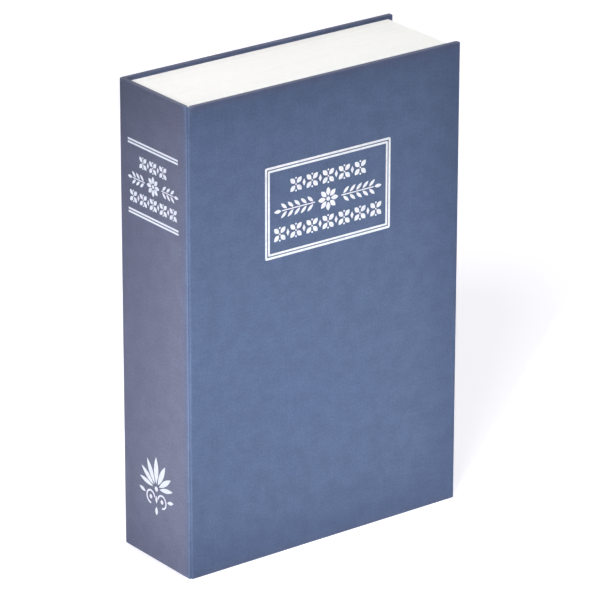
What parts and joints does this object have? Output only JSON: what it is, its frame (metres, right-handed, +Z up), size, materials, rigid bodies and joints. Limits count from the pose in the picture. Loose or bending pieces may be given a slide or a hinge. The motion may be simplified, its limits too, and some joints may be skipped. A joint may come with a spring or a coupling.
{
  "type": "book diversion safe",
  "caption": "Closed hardback book with a cloth case and moulded page block that hides a steel box with a hinged, key-locked lid.",
  "frame": {"origin": "on the standing plane, under the middle of the closed book's bounding box", "axes": "+Z up from tail to head, +X from spine to fore-edge, +Y from front cover to back cover"},
  "size_m": [0.162, 0.0556, 0.24],
  "materials": {
    "cloth": "matte",
    "board": "matte",
    "lining": "matte",
    "pages": "matte",
    "box_steel": "satin",
    "plated_steel": "satin",
    "lock_chrome": "polished"
  },
  "bodies": {
    "base": {"case_cloth": "cloth", "spine_board": "board", "back_board": "board", "spine_lining": "lining", "back_lining": "lining", "hinge_cloth": "cloth", "page_face": "pages", "page_head": "pages", "page_tail": "pages", "page_fore_edge": "pages", "page_spine_edge": "pages", "box_body": "box_steel", "box_leaf": "plated_steel", "hinge_pin": "plated_steel", "frame_screw_1": "plated_steel", "frame_screw_2": "plated_steel", "frame_screw_3": "plated_steel", "frame_screw_4": "plated_steel"},
    "front_cover": {"front_cloth": "cloth", "front_board": "board", "front_lining": "lining"},
    "lid": {"lid_panel": "box_steel", "lid_leaf": "plated_steel", "lock_housing": "lock_chrome", "lock_nut": "plated_steel"},
    "lock": {"lock_plug": "lock_chrome", "lock_cam": "plated_steel", "cam_washer": "plated_steel", "cam_screw": "plated_steel"}
  },
  "joints": [
    {"name": "cover_hinge", "type": "hinge", "parent": "base", "child": "front_cover", "pos_m": [-0.08041, -0.02716, 0.12], "axis": [0, 0, -1], "range_deg": [0, 175], "deforming": ["hinge_cloth"]},
    {"name": "lid_hinge", "type": "hinge", "parent": "base", "child": "lid", "pos_m": [-0.055, -0.0217, 0.12], "axis": [0, 0, -1], "range_deg": [0, 140]},
    {"name": "lock_turn", "type": "hinge", "parent": "lid", "child": "lock", "pos_m": [0.045, -0.016, 0.12], "axis": [0, 1, 0], "range_deg": [0, 90]}
  ],
  "couplings": [
    {"joint": "lid_hinge", "follows": "cover_hinge", "ratio": 0.8}
  ]
}
